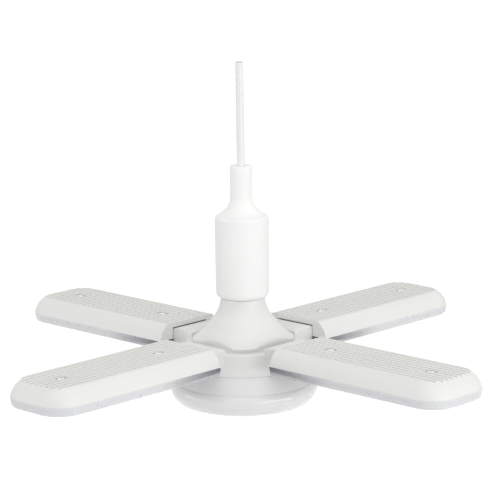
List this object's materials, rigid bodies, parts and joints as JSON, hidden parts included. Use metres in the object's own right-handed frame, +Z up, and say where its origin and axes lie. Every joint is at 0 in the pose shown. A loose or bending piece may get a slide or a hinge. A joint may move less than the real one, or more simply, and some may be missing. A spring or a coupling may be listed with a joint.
{
  "type": "foldable grow light",
  "caption": "Screw-in plant lamp with folding ribbed blades and clear lenses around a domed diffuser, hanging in a sleeved lampholder on a short cord.",
  "frame": {"origin": "the middle of the cord's upper end, where the lamp is hung", "axes": "+Z up along the cord and the lamp's axis; the blades lie open along +X, +Y, -X and -Y"},
  "size_m": [0.45, 0.45, 0.274],
  "materials": {
    "cord": "smooth white flex",
    "grip": "matt",
    "sleeve": "matt white silicone",
    "socket": "matt",
    "brass": "plain",
    "cap": "bright",
    "insulator": "gloss black",
    "lead": "insulated wire",
    "housing": "satin white",
    "lens": "clear, polished",
    "diffuser": "milky, gloss",
    "light_board": "white mask",
    "chip": "phosphor",
    "driver_board": "solder mask",
    "capacitor": "sleeved",
    "transformer": "taped",
    "steel": "plated"
  },
  "bodies": {
    "holder": {"cord": "cord", "cord_tail": "cord", "cord_grip": "grip", "holder_cover": "sleeve", "socket_body": "socket", "socket_screw_shell": "brass", "terminals": "brass", "terminal_screws": "steel", "cord_cores": "lead"},
    "plunger": {"socket_contact": "brass"},
    "lamp": {"cap_shell": "cap", "cap_insulator": "insulator", "cap_contact": "brass", "neck_housing": "housing", "hub_body": "housing", "hub_screws": "steel", "driver_board": "driver_board", "driver_capacitors": "capacitor", "driver_transformer": "transformer", "lamp_leads": "lead", "hub_leads": "lead", "dish_leads": "lead", "dish_housing": "housing", "dish_led_board": "light_board", "dish_leds": "chip", "dish_diffuser": "diffuser", "dish_screws": "steel", "board_screws": "steel"},
    "blade_1": {"blade_housing_1": "housing", "blade_lens_1": "lens", "blade_led_board_1": "light_board", "blade_leds_1": "chip", "blade_screws_1": "steel", "blade_lead_1": "lead", "hinge_pin_1": "steel"},
    "blade_2": {"blade_housing_2": "housing", "blade_lens_2": "lens", "blade_led_board_2": "light_board", "blade_leds_2": "chip", "blade_screws_2": "steel", "blade_lead_2": "lead", "hinge_pin_2": "steel"},
    "blade_3": {"blade_housing_3": "housing", "blade_lens_3": "lens", "blade_led_board_3": "light_board", "blade_leds_3": "chip", "blade_screws_3": "steel", "blade_lead_3": "lead", "hinge_pin_3": "steel"},
    "blade_4": {"blade_housing_4": "housing", "blade_lens_4": "lens", "blade_led_board_4": "light_board", "blade_leds_4": "chip", "blade_screws_4": "steel", "blade_lead_4": "lead", "hinge_pin_4": "steel"}
  },
  "joints": [
    {"name": "lamp_travel", "type": "slide", "parent": "holder", "child": "plunger", "axis": [0, 0, -1], "range_m": [0, 0.0028]},
    {"name": "lamp_turn", "type": "hinge", "parent": "plunger", "child": "lamp", "pos_m": [0, 0, -0.18573], "axis": [0, 0, -1], "range_deg": [0, 270]},
    {"name": "blade_1_fold", "type": "hinge", "parent": "lamp", "child": "blade_1", "pos_m": [0.066, 0, -0.22573], "axis": [0, 1, 0], "range_deg": [0, 90]},
    {"name": "blade_2_fold", "type": "hinge", "parent": "lamp", "child": "blade_2", "pos_m": [0, 0.066, -0.22573], "axis": [-1, 0, 0], "range_deg": [0, 90]},
    {"name": "blade_3_fold", "type": "hinge", "parent": "lamp", "child": "blade_3", "pos_m": [-0.066, 0, -0.22573], "axis": [0, -1, 0], "range_deg": [0, 90]},
    {"name": "blade_4_fold", "type": "hinge", "parent": "lamp", "child": "blade_4", "pos_m": [0, -0.066, -0.22573], "axis": [1, 0, 0], "range_deg": [0, 90]}
  ],
  "couplings": [
    {"joint": "lamp_travel", "follows": "lamp_turn", "m_per_rad": 0.00057757}
  ]
}
